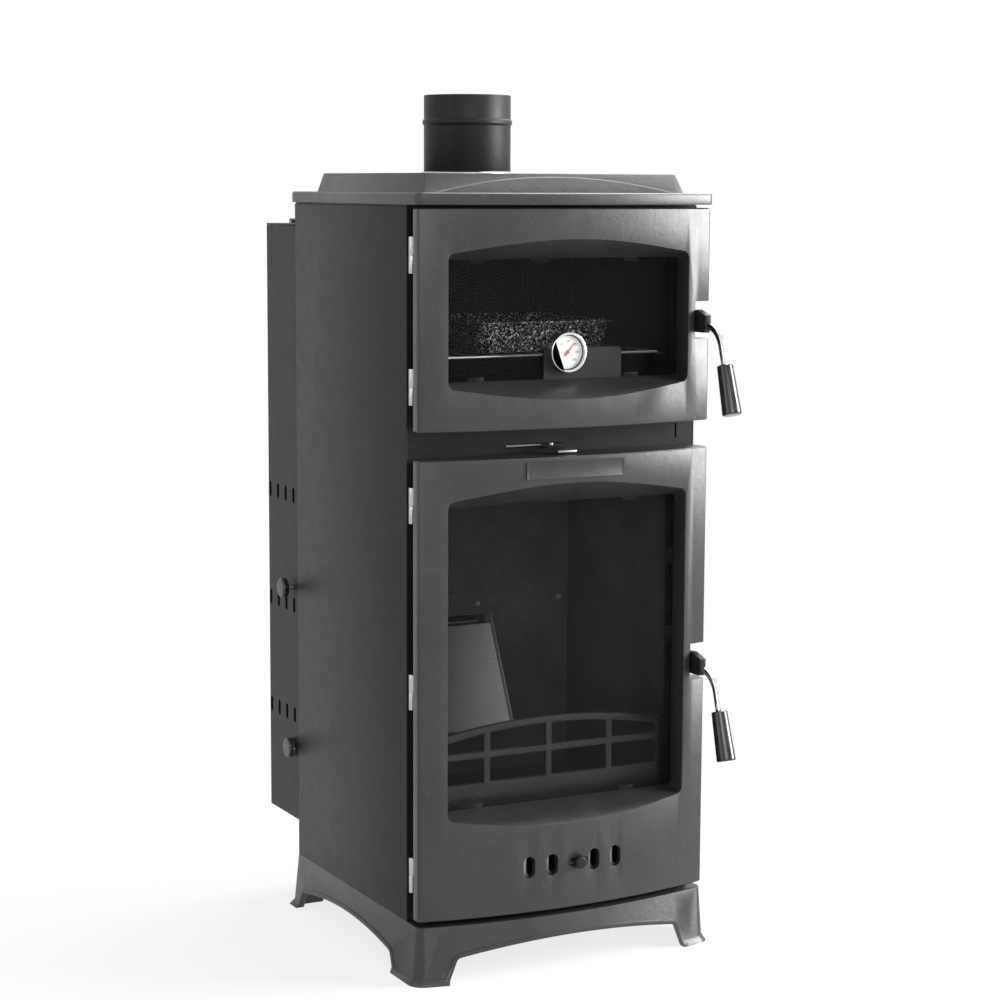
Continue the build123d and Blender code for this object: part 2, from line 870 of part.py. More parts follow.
def chute_plate():
    """Bare steel chute down into the fire, with a low lip along each side."""
    toe_y = chamber_back - chute_reach
    toe_z = chute_top - chute_drop
    length = sqrt(chute_reach**2 + chute_drop**2)
    across_y = chute_drop / length
    across_z = chute_reach / length
    climb = length / chute_reach

    def band(above, below, x):
        head_over = (chamber_back, chute_top + above * climb)
        toe_over = (toe_y - above * across_y, toe_z + above * across_z)
        toe_under = (toe_y + below * across_y, toe_z - below * across_z)
        head_under = (chamber_back, chute_top - below * climb)
        return slab_x([head_over, toe_over, toe_under, head_under], x)

    plate = band(0, chute_sheet, (-chute_half, chute_half))
    for side in (-1, 1):
        plate += band(chute_lip, chute_sheet, between(side * chute_half, side * (chute_half - chute_sheet)))
    return plate


# Ash drawer

def ash_drawer():
    """Folded sheet drawer with a pull lip."""
    y0 = frame_back + drawer_set_back
    z1 = drawer_low + drawer_height
    outer = block((-drawer_half, drawer_half), (y0, y0 + drawer_deep), (drawer_low, z1))
    inner = block((-drawer_half + drawer_wall, drawer_half - drawer_wall),
                  (y0 + drawer_wall, y0 + drawer_deep - drawer_wall), (drawer_low + drawer_wall, z1 + tiny))
    lip = block((-drawer_lip_half, drawer_lip_half), (y0 - drawer_lip_reach, y0 + drawer_wall),
                (z1 - drawer_lip_thick, z1))
    return outer - inner + lip


# Rear casing

def rear_casing():
    """Three-sided sheet casing with a floor, slotted sides and knuckles for the lid."""
    x = (-body_half, body_half)
    outer = block(x, (body_back, casing_back), (casing_low, casing_high))
    outer = fillet(outer.edges().filter_by(Axis.Z).sort_by(Axis.Y)[-2:], casing_corner)
    inner = block((x[0] + casing_sheet, x[1] - casing_sheet), (body_back - tiny, casing_back - casing_sheet),
                  (casing_low + casing_sheet, casing_high + tiny))
    casing = outer - inner
    slot = Rot(0, 0, 90) * SlotOverall(vent_height, vent_width)
    slots = []
    for z in vent_rows:
        for i in range(vent_columns):
            slots.append(Pos(body_back + vent_first + i * vent_pitch, z) * slot)
    cutter = extrude(side_plane(0) * Sketch(children=slots), body_width, both=True)
    casing -= cutter
    bush_x = (-body_half + casing_sheet, -body_half + casing_sheet + guide_length)
    for z in (gate_z, air_z):
        casing += rod((bush_x[0], rod_y, z), (bush_x[1], rod_y, z), guide_diameter / 2)
        casing -= rod((-body_half - tiny, rod_y, z), (bush_x[1] + tiny, rod_y, z),
                      rod_diameter / 2 + running_clearance)
    for side in (-1, 1):
        x = between(side * (lid_barrel_x + barrel_gap), side * (lid_barrel_x + lid_barrel_length))
        casing += lid_knuckle(x, (casing_back, lid_axis_y), (casing_high - lid_web_height, lid_axis_z))
    return casing


def lid_knuckle(x, web_y, web_z):
    """Bored barrel of a lid hinge with its web."""
    barrel = rod((x[0], lid_axis_y, lid_axis_z), (x[1], lid_axis_y, lid_axis_z), lid_barrel_radius)
    bore = rod((x[0] - tiny, lid_axis_y, lid_axis_z), (x[1] + tiny, lid_axis_y, lid_axis_z),
               lid_pin_radius + pin_clearance)
    return barrel + block(x, web_y, web_z) - bore


def lid_pins():
    """Pins of the lid's two hinges."""
    pins = []
    for side in (-1, 1):
        x = (side * (lid_barrel_x - lid_barrel_length), side * (lid_barrel_x + lid_barrel_length))
        pins.append(rod((min(x), lid_axis_y, lid_axis_z), (max(x), lid_axis_y, lid_axis_z), lid_pin_radius))
    return Compound(children=pins)


def hopper_lid():
    """Flat lid with a grip, hinged at the back."""
    z = (casing_high + fit_gap, casing_high + fit_gap + lid_thick)
    lid_back = lid_axis_y - lid_barrel_radius - barrel_gap
    lid = block((-body_half, body_half), (body_back + lid_front_gap, lid_back), z)
    for side in (-1, 1):
        x = between(side * (lid_barrel_x - lid_barrel_length), side * (lid_barrel_x - barrel_gap))
        lid += lid_knuckle(x, (lid_back - tiny, lid_axis_y), z)
    grip_y = body_back + lid_front_gap + lid_grip_height
    grip = block((-lid_grip_half, lid_grip_half), (grip_y, grip_y + lid_grip_thick),
                 (z[1], z[1] + lid_grip_height))
    return lid + fillet(grip.edges().group_by(Axis.Z)[-1], lid_grip_edge)


def pull_knob(z, out):
    """Flat round knob on a pull rod."""
    disc = extrude(Circle(knob_diameter / 2), knob_thick)
    disc = fillet(disc.edges().sort_by(Axis.Z)[-1:], knob_edge)
    return Plane(origin=(-body_half - out, rod_y, z), z_dir=(-1, 0, 0)) * disc


def pellet_gate():
    """Gate plate in the duct with its pull rod."""
    x = (gate_tip - gate_length, gate_tip)
    plate = block(x, (duct_front_y + fit_gap, duct_back_y - fit_gap),
                  (gate_z - gate_thick / 2, gate_z + gate_thick / 2))
    pull = rod((-body_half - gate_out, rod_y, gate_z), (x[0] + rod_diameter, rod_y, gate_z), rod_diameter / 2)
    return plate + pull


def air_shutter():
    """Shutter over the air inlet, with a folded tab and its pull rod."""
    y = (body_back + fit_gap, body_back + fit_gap + air_plate_thick)
    tab_y = rod_y + rod_diameter
    half = air_plate_half
    plate = block((-half, half), y, (air_z - half, air_z + half))
    reach = half - air_guide_height - 2 * fit_gap
    tab = block((-half, -half + air_plate_thick), (y[0], tab_y), (air_z - reach, air_z + reach))
    pull = rod((-body_half - air_out, rod_y, air_z), (-half, rod_y, air_z), rod_diameter / 2)
    return plate + tab + pull


# Doors

def window_face(y, half, low, high, sag, corner):
    """Window outline on a front plane, with arched head and sill."""
    if sag > 0:
        head = ThreePointArc((-half, high), (0, high + sag), (half, high))
        sill = ThreePointArc((half, low), (0, low - sag), (-half, low))
    else:
        head = Line((-half, high), (half, high))
        sill = Line((half, low), (-half, low))
    face = make_face([head, Line((half, high), (half, low)), sill, Line((-half, low), (-half, high))])
    return front_plane(y) * fillet(face.vertices(), corner)


def reveal(recess, sight, grow, back):
    """Funnel from the arched mouth to the straight sight opening."""
    steep = (nose_front - recess_nose - glass_front) / (nose_front - glass_front)
    low = sight[0] - (sight[0] - recess[0]) * steep
    high = sight[1] + (recess[1] - sight[1]) * steep
    mouth = window_face(nose_front - recess_nose, recess_half + grow, low - grow, high + grow,
                        recess_sag, recess_corner + grow)
    throat = window_face(back, recess_half + grow, sight[0] - grow, sight[1] + grow, 0, sight_corner + grow)
    return loft([mouth, throat], ruled=True)


def framed(sight, margin_x, margin_z):
    """Rectangle round a sight opening."""
    middle = (sight[0] + sight[1]) / 2
    return Pos(0, middle) * Rectangle(2 * (recess_half + margin_x), sight[1] - sight[0] + 2 * margin_z)


def door_shell(limits, recess, sight, mouth, handle_z):
    """Hollow bowed casting with a splayed window, a seal rib, a hinge relief and a handle notch."""
    outer = bowed_prism(door_half, door_back, limits, corner=door_corner)
    long_edges = outer.edges().filter_by(GeomType.CIRCLE).sort_by(SortBy.LENGTH)[-2:]
    outer = chamfer(long_edges, door_edge)
    inside = (limits[0] + door_wall, limits[1] - door_wall)
    hollow = bowed_prism(door_half, door_back + tiny, inside, door_wall)
    rim = framed(sight, seal_half - recess_half, glass_lap_z + seal_margin)
    well = framed(sight, glass_lap_x + clip_foot, glass_lap_z + clip_foot)
    low, high = seal_limits(mouth)
    seal_face = front_plane(door_back) * ring_face(seal_half, low, high, 2 * seal_rib, seal_corner)
    keep = reveal(recess, sight, recess_wall, glass_front)
    keep += extrude(front_plane(glass_front) * rim, flange_thick)
    keep += extrude(front_plane(door_back) * (rim - well), glass_thick)
    keep += extrude(seal_face, door_back - nose_front)
    keep += block((-door_half, relief_right + door_wall), (relief_front - door_wall, door_back), limits)
    keep += block((notch_inner - door_wall, door_half), (nose_front, door_back),
                  (handle_z - notch_half - door_wall, handle_z + notch_half + door_wall))
    shell = outer - (hollow - keep) - reveal(recess, sight, 0, glass_front + tiny)
    shell -= extrude(front_plane(door_back + tiny) * well, glass_thick + tiny)
    shell -= block((-door_half - tiny, relief_right), (relief_front, body_front),
                   (limits[0] - tiny, limits[1] + tiny))
    shell -= block((notch_inner, door_half + tiny), (nose_front - tiny, body_front),
                   (handle_z - notch_half, handle_z + notch_half))
    return shell - rod((notch_inner - pivot_seat, pivot_y, handle_z), (notch_inner + tiny, pivot_y, handle_z),
                       pivot_radius + pin_clearance)


def oven_door_casting():
    """Door of the oven."""
    return door_shell(oven_door, oven_recess, oven_sight, oven_mouth, oven_handle_z)


slide_front = bow_y(slide_seat_half, door_wall) + fit_gap


def fire_door_casting():
    """Door of the fire, with air slots and a flat seat for the air slide."""
    door = door_shell(fire_door, fire_recess, fire_sight, fire_mouth, fire_handle_z)
    seat_x = (-slide_seat_half, slide_seat_half)
    half_height = slide_half_height + fit_gap + slide_rail
    seat_z = (slot_z - half_height, slot_z + half_height)
    boss = bowed_prism(door_half, slide_front, seat_z, tiny)
    door += boss & block(seat_x, (nose_front, slide_front), seat_z)
    rail_back = slide_front + slide_thick + 2 * fit_gap
    for side in (-1, 1):
        near = slot_z + side * (slide_half_height + fit_gap)
        far = near + side * slide_rail
        over = near - side * slide_rail_lip
        door += block(seat_x, (slide_front, rail_back), between(near, far))
        door += block(seat_x, (rail_back, rail_back + slide_rail_lip), between(over, far))
    cut_deep = slide_front + 2 * tiny - nose_front
    for hole in air_slots(0) + [knob_slot()]:
        door -= extrude(front_plane(slide_front + tiny) * hole, cut_deep)
    return door


def air_slots(shift):
    """Four upright slots."""
    slot = Rot(0, 0, 90) * SlotOverall(slot_height, slot_width)
    return [Pos(x + shift, slot_z) * slot for x in slot_offsets]


def knob_slot():
    """Level slot for the stem of the slide's knob."""
    length = 2 * (slide_travel + slide_stem_radius + knob_slot_end)
    return Pos(slide_knob_x, slot_z) * SlotOverall(length, knob_slot_height)


def air_slide():
    """Flat slide, whose slots meet the door's at one end of its travel."""
    plate = Pos(0, slot_z) * Rectangle(2 * slide_half, 2 * slide_half_height)
    for hole in air_slots(slide_travel):
        plate -= hole
    return extrude(front_plane(slide_front + fit_gap + slide_thick) * plate, slide_thick)


def air_knob():
    """Stem and round knob of the air slide."""
    y = slide_front + fit_gap
    knob_back = bow_y(slide_knob_x) - slide_knob_gap
    stem = rod((slide_knob_x, y, slot_z), (slide_knob_x, knob_back, slot_z), slide_stem_radius)
    disc = extrude(Circle(slide_knob_radius), slide_knob_thick)
    disc = fillet(disc.edges().sort_by(Axis.Z)[-1:], knob_edge)
    return stem + Plane(origin=(slide_knob_x, knob_back, slot_z), z_dir=(0, -1, 0)) * disc


def pane(sight):
    """Face of a glass pane that laps its sight opening."""
    half = recess_half + glass_lap_x
    return Pos(0, (sight[0] + sight[1]) / 2) * Rectangle(2 * half, sight[1] - sight[0] + 2 * glass_lap_z)


def oven_glass():
    """Oven pane, notched for the thermometer's plate."""
    face = pane(oven_sight)
    low = oven_sight[0] - glass_lap_z
    notch = Pos(sum(notch_x) / 2, (low + notch_top) / 2 - tiny) * RectangleRounded(
        notch_x[1] - notch_x[0], notch_top - low + 2 * tiny, notch_corner)
    square = Pos(sum(notch_x) / 2, low) * Rectangle(notch_x[1] - notch_x[0], 2 * notch_corner + 2 * tiny)
    return extrude(front_plane(glass_back) * (face - notch - square), glass_thick)


def notch_plate():
    """Black steel plate that fills the notch and carries the thermometer."""
    low = oven_sight[0] - glass_lap_z
    width = notch_x[1] - notch_x[0] - 2 * fit_gap
    height = notch_top - fit_gap - low
    face = Pos(sum(notch_x) / 2, low + height / 2) * Rectangle(width, height)
    face = fillet(face.vertices().sort_by(Axis.Y)[-2:], notch_corner)
    face -= Pos(dial_x, dial_z) * Circle(stem_radius + running_clearance)
    return extrude(front_plane(glass_back) * face, glass_thick)


def fire_glass():
    """Fire pane."""
    return extrude(front_plane(glass_back) * pane(fire_sight), glass_thick)


def end_clip(x, edge, side):
    """Clip that holds a pane at its head (side 1) or foot (side -1)."""
    foot = edge + side * clip_foot
    z = between(foot, edge - side * clip_reach)
    width = (x - clip_width / 2, x + clip_width / 2)
    spring = block(width, (glass_back, glass_back + clip_thick), z)
    return spring + block(width, (glass_front, glass_back), between(edge, foot))


def side_clip(z, side):
    """Clip that holds the fire pane at one side."""
    edge = side * (recess_half + glass_lap_x)
    foot = edge + side * clip_foot
    x = between(foot, edge - side * clip_reach)
    height = (z - clip_width / 2, z + clip_width / 2)
    spring = block(x, (glass_back, glass_back + clip_thick), height)
    return spring + block(between(edge, foot), (glass_front, glass_back), height)


def oven_glass_clips():
    """Clips at the head and foot of the oven pane."""
    clips = [end_clip(x, oven_sight[1] + glass_lap_z, 1) for x in oven_clip_x]
    clips += [end_clip(x, oven_sight[0] - glass_lap_z, -1) for x in (oven_clip_x[0], oven_clip_x[2])]
    return Compound(children=clips)


def fire_glass_clips():
    """Clips around the fire pane."""
    clips = [side_clip(z, side) for z in fire_side_clip_z for side in (-1, 1)]
    clips += [end_clip(x, fire_sight[1] + glass_lap_z, 1) for x in (oven_clip_x[0], oven_clip_x[2])]
    clips += [end_clip(x, fire_sight[0] - glass_lap_z, -1) for x in (oven_clip_x[0], oven_clip_x[2])]
    return Compound(children=clips)


def door_seal(mouth):
    """Rope seal around a mouth, pressed flat where it is glued to the door."""
    low, high = seal_limits(mouth)
    ring = ring_face(seal_half, low, high, 2 * seal_radius, seal_corner)
    rope = extrude(front_plane(door_back + 2 * seal_radius) * ring, 2 * seal_radius)
    back_edges = rope.edges().group_by(Axis.Y)[-1]
    return fillet(back_edges, seal_round)


# Thermometer

def thermometer_case():
    """Round case with a grooved bezel and a stem into the oven."""
    back = glass_front - case_back_gap
    case = extrude(Circle(case_radius), case_deep)
    case = fillet(case.edges().sort_by(Axis.Z)[-1:], tiny)
    case -= Pos(0, 0, dial_floor) * extrude(Circle(case_radius - bezel_width), dial_recess + tiny)
    middle = case_radius - bezel_width / 2
    case -= Pos(0, 0, case_deep - bezel_groove / 2) * extrude(
        Circle(middle + bezel_groove / 2) - Circle(middle - bezel_groove / 2), bezel_groove)
    case += Pos(0, 0, -stem_length) * extrude(Circle(stem_radius), stem_length)
    return Plane(origin=(dial_x, back, dial_z), x_dir=(1, 0, 0), z_dir=(0, -1, 0)) * case


def dial_disc(depth, thick):
    """Disc inside the case, with its back at a depth from the case's back."""
    disc = extrude(Circle(case_radius - bezel_width - running_clearance), thick)
    y = glass_front - case_back_gap - depth
    return Plane(origin=(dial_x, y, dial_z), x_dir=(1, 0, 0), z_dir=(0, -1, 0)) * disc


def thermometer_dial():
    """Printed dial plate."""
    return dial_disc(dial_floor, dial_thick)


def thermometer_lens():
    """Dial glass."""
    return dial_disc(case_deep - lens_set_back - lens_thick, lens_thick)


def thermometer_needle():
    """Needle with its hub."""
    tail = [(-needle_width, -needle_tail), (needle_width, -needle_tail)]
    shape = make_face(Polyline(*tail, (0, needle_length), close=True))
    needle = extrude(shape, needle_thick) + Pos(0, 0, -needle_lift) * extrude(
        Circle(needle_hub_radius), needle_lift + 2 * needle_thick)
    needle = Rot(0, 0, -needle_deg) * needle
    lift = dial_floor + dial_thick + needle_lift + running_clearance
    y = glass_front - case_back_gap - lift
    return Plane(origin=(dial_x, y, dial_z), x_dir=(1, 0, 0), z_dir=(0, -1, 0)) * needle


# Hinges

def knuckle(z, leaf_y):
    """Barrel with a leaf, bored for the pin."""
    barrel = rod((hinge_x, hinge_y, z[0]), (hinge_x, hinge_y, z[1]), knuckle_radius)
    leaf = block((hinge_x - leaf_thick / 2, hinge_x + leaf_thick / 2), leaf_y, z)
    bore = rod((hinge_x, hinge_y, z[0] - tiny), (hinge_x, hinge_y, z[1] + tiny),
               hinge_pin_radius + pin_clearance)
    return barrel + leaf - bore


def door_knuckles(heights):
    """Upper barrels, on the edge of the door's side wall."""
    leaf_y = (relief_front, hinge_y)
    return Compound(children=[knuckle((z + washer_height / 2, z + knuckle_height), leaf_y) for z in heights])


def frame_knuckles():
    """Lower barrels, on the frame."""
    leaf_y = (hinge_y, body_front)
    heights = oven_hinges + fire_hinges
    return Compound(children=[knuckle((z - knuckle_height, z - washer_height / 2), leaf_y) for z in heights])


def hinge_pins():
    """Pins of all the door hinges, each with its washer."""
    pins = []
    gap = washer_height / 2 - pin_clearance
    for z in oven_hinges + fire_hinges:
        pin = rod((hinge_x, hinge_y, z - knuckle_height), (hinge_x, hinge_y, z + knuckle_height),
                  hinge_pin_radius)
        pins.append(pin + rod((hinge_x, hinge_y, z - gap), (hinge_x, hinge_y, z + gap), knuckle_radius))
    return Compound(children=pins)


# Handles and catches

def handle_hub(handle_z):
    """Flat hub in the door's notch, with a hook at the back."""
    def at(y, z):
        return (pivot_y + y, handle_z + z)

    hook_inner = hook_reach - hook_nose
    profile = [at(-hub_nose, hub_nose_top), at(-hook_root, hub_top), at(hook_root, hub_top - hub_slope),
               at(hook_throat, hook_drop), at(hook_inner, hook_drop), at(hook_inner, hook_top),
               at(hook_reach, hook_top), at(hook_reach, -hub_heel), at(hook_root, -hub_low),
               at(-hub_nose + hub_cut_y, -hub_low), at(-hub_nose, -hub_low + hub_cut_z)]
    hub = slab_x(profile, (handle_x - hub_width / 2, handle_x + hub_width / 2))
    return hub - rod((handle_x - hub_width, pivot_y, handle_z), (handle_x + hub_width, pivot_y, handle_z),
                     pivot_radius + pin_clearance)


def lever_path(handle_z):
    """Lever's middle line: out of the hub, a bend down, then a short run."""
    turn = radians(lever_turn_deg)
    y0 = pivot_y - hub_nose
    z0 = handle_z - lever_drop
    bend_y = y0 - lever_bend * sin(turn)
    bend_z = z0 - lever_bend * (1 - cos(turn))
    half = turn / 2
    mid = (y0 - lever_bend * sin(half), z0 - lever_bend * (1 - cos(half)))
    end = (bend_y - lever_run * cos(turn), bend_z - lever_run * sin(turn))
    return (y0, z0), mid, (bend_y, bend_z), end


def handle_lever(handle_z):
    """Curved flat bar."""
    start, mid, bend, end = lever_path(handle_z)
    line = ThreePointArc(start, mid, bend) + Line(bend, end)
    path = side_plane(handle_x) * line
    bar = Plane(origin=(handle_x, start[0], start[1]), x_dir=(1, 0, 0), z_dir=(0, -1, 0))
    return sweep(bar * RectangleRounded(lever_width, lever_thick, lever_edge), path=path)


def handle_grip(handle_z):
    """Tapered round grip on the end of the lever."""
    end = lever_path(handle_z)[3]
    turn = radians(lever_turn_deg)
    axis = Plane(origin=(handle_x, end[0], end[1]), x_dir=(1, 0, 0), z_dir=(0, -cos(turn), -sin(turn)))
    grip = loft([Circle(grip_top_radius), Pos(0, 0, grip_length) * Circle(grip_low_radius)], ruled=True)
    grip = fillet(grip.edges().filter_by(GeomType.CIRCLE), grip_edge)
    return axis * grip


def handle_pivot(handle_z):
    """Headed pin from the notch's inner wall through the hub."""
    start = notch_inner - pivot_seat
    head = handle_x + hub_width / 2 + fit_gap
    pin = rod((start, pivot_y, handle_z), (head, pivot_y, handle_z), pivot_radius)
    return pin + rod((head, pivot_y, handle_z), (head + pivot_head, pivot_y, handle_z), pivot_radius + tiny)


def latch_catches():
    """Catch for each hook: two ears on the frame with a pin across."""
    inner = notch_inner + fit_gap
    thick = handle_x - hub_width / 2 - fit_gap - inner
    outer = handle_x + hub_width / 2 + fit_gap
    ear_y = (catch_pin_y - catch_pin_radius - tiny, body_front)
    catches = []
    for z in (oven_handle_z, fire_handle_z):
        centre = z + catch_pin_rise
        catch = rod((inner, catch_pin_y, centre), (outer + thick, catch_pin_y, centre), catch_pin_radius)
        for x in ((inner, inner + thick), (outer, outer + thick)):
            catch += block(x, ear_y, (centre - ear_half, centre + ear_half))
        catches.append(catch)
    return Compound(children=catches)


# Damper

def damper_slide():
    """Bent tab through the frame, on a flat damper plate."""
    t = damper_thick
    front = body_front - damper_reach
    bend = body_front - damper_bend
    z = damper_z
    tab = slab_x([(frame_back, z - t / 2), (bend, z - t / 2), (front, z - t / 2 - damper_drop),
                  (front, z + t / 2 - damper_drop), (bend, z + t / 2), (frame_back, z + t / 2)],
                 (damper_x - damper_half, damper_x + damper_half))
    plate = block((damper_x - damper_plate_half, damper_x + damper_plate_half),
                  (frame_back + fit_gap, frame_back + damper_plate_deep), (z - t / 2, z + t / 2))
    neck = block((damper_x - damper_half, damper_x + damper_half), (frame_back - tiny, frame_back + tiny),
                 (z - t / 2, z + t / 2))
    bolt_x = damper_x - damper_bolt_x
    bolt_y = body_front - damper_bolt_y
    bolt = rod((bolt_x, bolt_y, z), (bolt_x, bolt_y, z + t / 2 + damper_bolt_head), damper_bolt_radius)
    return tab + neck + plate + bolt


def smoke_shelf():
    """Plate over the fire chamber, with the bypass hole that the damper covers."""
    top = damper_z - damper_thick / 2 - fit_gap
    z = (top - smoke_shelf_thick, top)
    shelf = block((-inner_half, inner_half), (frame_back, frame_back + smoke_shelf_deep), z)
    hole_half = damper_plate_half - damper_hole_border
    hole_y = (frame_back + damper_hole_border, frame_back + damper_plate_deep - damper_hole_border)
    return shelf - block((damper_x - hole_half, damper_x + hole_half), hole_y, (z[0] - tiny, z[1] + tiny))


parts = {
    "base_casting": base_casting,
    "side_panels": side_panels,
    "back_panel": back_panel,
    "front_frame": front_frame,
    "top_casting": top_casting,
    "flue_pipe": flue_pipe,
    "flue_collar": flue_collar,
    "oven_box": oven_box,
    "oven_shelf": oven_shelf,
    "baking_tray": baking_tray,
    "side_linings": side_linings,
    "lining_back_centre": centre_lining,
    "lining_back_sides": outer_linings,
    "lining_strip": lining_strip,
    "lining_screws": lining_screws,
    "chamber_floor": chamber_floor,
    "grate": grate,
    "smoke_baffle": baffle,
    "log_fence": fence,
    "chute_plate": chute_plate,
    "feed_duct": feed_duct,
    "hopper": hopper,
    "hopper_lid": hopper_lid,
    "lid_pins": lid_pins,
    "rear_casing": rear_casing,
    "pellet_gate": pellet_gate,
    "gate_knob": lambda: pull_knob(gate_z, gate_out),
    "air_shutter": air_shutter,
    "air_shutter_knob": lambda: pull_knob(air_z, air_out),
    "ash_drawer": ash_drawer,
    "frame_knuckles": frame_knuckles,
    "hinge_pins": hinge_pins,
    "latch_catches": latch_catches,
    "damper_slide": damper_slide,
    "smoke_shelf": smoke_shelf,
    "oven_handle_hub": lambda: handle_hub(oven_handle_z),
    "oven_handle_lever": lambda: handle_lever(oven_handle_z),
    "oven_handle_grip": lambda: handle_grip(oven_handle_z),
    "oven_handle_pin": lambda: handle_pivot(oven_handle_z),
    "fire_handle_hub": lambda: handle_hub(fire_handle_z),
    "fire_handle_lever": lambda: handle_lever(fire_handle_z),
    "fire_handle_grip": lambda: handle_grip(fire_handle_z),
    "fire_handle_pin": lambda: handle_pivot(fire_handle_z),
    "oven_door": oven_door_casting,
    "oven_glass": oven_glass,
    "oven_glass_clips": oven_glass_clips,
    "oven_door_seal": lambda: door_seal(oven_mouth),
    "oven_door_knuckles": lambda: door_knuckles(oven_hinges),
    "notch_plate": notch_plate,
    "thermometer_case": thermometer_case,
    "thermometer_dial": thermometer_dial,
    "thermometer_lens": thermometer_lens,
    "thermometer_needle": thermometer_needle,
    "fire_door": fire_door_casting,
    "fire_glass": fire_glass,
    "fire_glass_clips": fire_glass_clips,
    "fire_door_seal": lambda: door_seal(fire_mouth),
    "fire_door_knuckles": lambda: door_knuckles(fire_hinges),
    "air_slide": air_slide,
    "air_slide_knob": air_knob,
}

os.makedirs("parts", exist_ok=True)
for name, make in parts.items():
    export_step(Pos(-middle_x, -middle_y, 0) * make(), f"parts/{name}.step")
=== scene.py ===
import json
import math

import bpy
from mathutils import Matrix, Vector

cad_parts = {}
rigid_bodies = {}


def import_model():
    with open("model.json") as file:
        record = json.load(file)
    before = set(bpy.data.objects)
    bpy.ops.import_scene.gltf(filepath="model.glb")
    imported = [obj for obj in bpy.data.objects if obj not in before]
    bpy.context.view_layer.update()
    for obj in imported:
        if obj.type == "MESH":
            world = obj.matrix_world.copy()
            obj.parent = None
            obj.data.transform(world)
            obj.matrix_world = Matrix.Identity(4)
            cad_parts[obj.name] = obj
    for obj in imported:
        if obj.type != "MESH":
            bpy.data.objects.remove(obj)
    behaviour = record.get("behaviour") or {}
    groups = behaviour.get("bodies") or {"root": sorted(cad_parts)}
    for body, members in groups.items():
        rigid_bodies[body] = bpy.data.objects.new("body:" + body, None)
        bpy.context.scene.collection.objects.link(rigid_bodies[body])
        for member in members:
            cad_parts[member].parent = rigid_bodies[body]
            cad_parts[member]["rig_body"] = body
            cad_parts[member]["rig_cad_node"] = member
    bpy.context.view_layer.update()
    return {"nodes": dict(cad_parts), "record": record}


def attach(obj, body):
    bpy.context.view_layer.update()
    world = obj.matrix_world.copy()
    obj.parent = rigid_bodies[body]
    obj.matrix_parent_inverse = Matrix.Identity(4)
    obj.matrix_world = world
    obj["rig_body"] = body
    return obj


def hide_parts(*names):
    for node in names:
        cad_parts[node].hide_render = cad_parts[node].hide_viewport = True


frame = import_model()
nodes = frame["nodes"]


# Finishes

def start_finish(name):
    """A new material with its node tree, its shader and object coordinates."""
    finish = bpy.data.materials.new(name)
    finish.use_nodes = True
    tree = finish.node_tree
    shader = tree.nodes["Principled BSDF"]
    place = tree.nodes.new("ShaderNodeTexCoord").outputs["Object"]
    return finish, tree, shader, place


def stretched(tree, place, scale):
    """Coordinates scaled apart along X, Y and Z."""
    mapping = tree.nodes.new("ShaderNodeMapping")
    mapping.inputs["Scale"].default_value = scale
    tree.links.new(place, mapping.inputs["Vector"])
    return mapping.outputs["Vector"]


def grain(tree, place, scale, detail=3.0, roughness=0.55):
    """Noise from 0 to 1."""
    noise = tree.nodes.new("ShaderNodeTexNoise")
    noise.inputs["Scale"].default_value = scale
    noise.inputs["Detail"].default_value = detail
    noise.inputs["Roughness"].default_value = roughness
    tree.links.new(place, noise.inputs["Vector"])
    return noise.outputs["Fac"]


def shades(tree, value, low, high, start=0.3, end=0.7):
    """Colours between two shades, spread over part of a pattern."""
    ramp = tree.nodes.new("ShaderNodeValToRGB")
    ramp.color_ramp.elements[0].position = start
    ramp.color_ramp.elements[1].position = end
    ramp.color_ramp.elements[0].color = (*low, 1)
    ramp.color_ramp.elements[1].color = (*high, 1)
    tree.links.new(value, ramp.inputs["Fac"])
    return ramp.outputs["Color"]


def spread(tree, value, low, high):
    """A pattern's middle stretched between two numbers."""
    span = tree.nodes.new("ShaderNodeMapRange")
    span.inputs["From Min"].default_value = 0.3
    span.inputs["From Max"].default_value = 0.7
    span.inputs["To Min"].default_value = low
    span.inputs["To Max"].default_value = high
    tree.links.new(value, span.inputs["Value"])
    return span.outputs["Result"]


def blended(tree, amount, first, second):
    """Two colours blended by a pattern."""
    mix = tree.nodes.new("ShaderNodeMix")
    mix.data_type = "RGBA"
    tree.links.new(amount, mix.inputs["Factor"])
    for socket, colour in ((mix.inputs[6], first), (mix.inputs[7], second)):
        if isinstance(colour, tuple):
            socket.default_value = (*colour, 1)
        else:
            tree.links.new(colour, socket)
    return mix.outputs[2]


def relief(tree, shader, height, strength, depth, under=None):
    """Surface relief on a shader, over another relief when one is given."""
    bump = tree.nodes.new("ShaderNodeBump")
    bump.inputs["Strength"].default_value = strength
    bump.inputs["Distance"].default_value = depth
    tree.links.new(height, bump.inputs["Height"])
    if under is not None:
        tree.links.new(under, bump.inputs["Normal"])
    tree.links.new(bump.outputs["Normal"], shader.inputs["Normal"])
    return bump.outputs["Normal"]


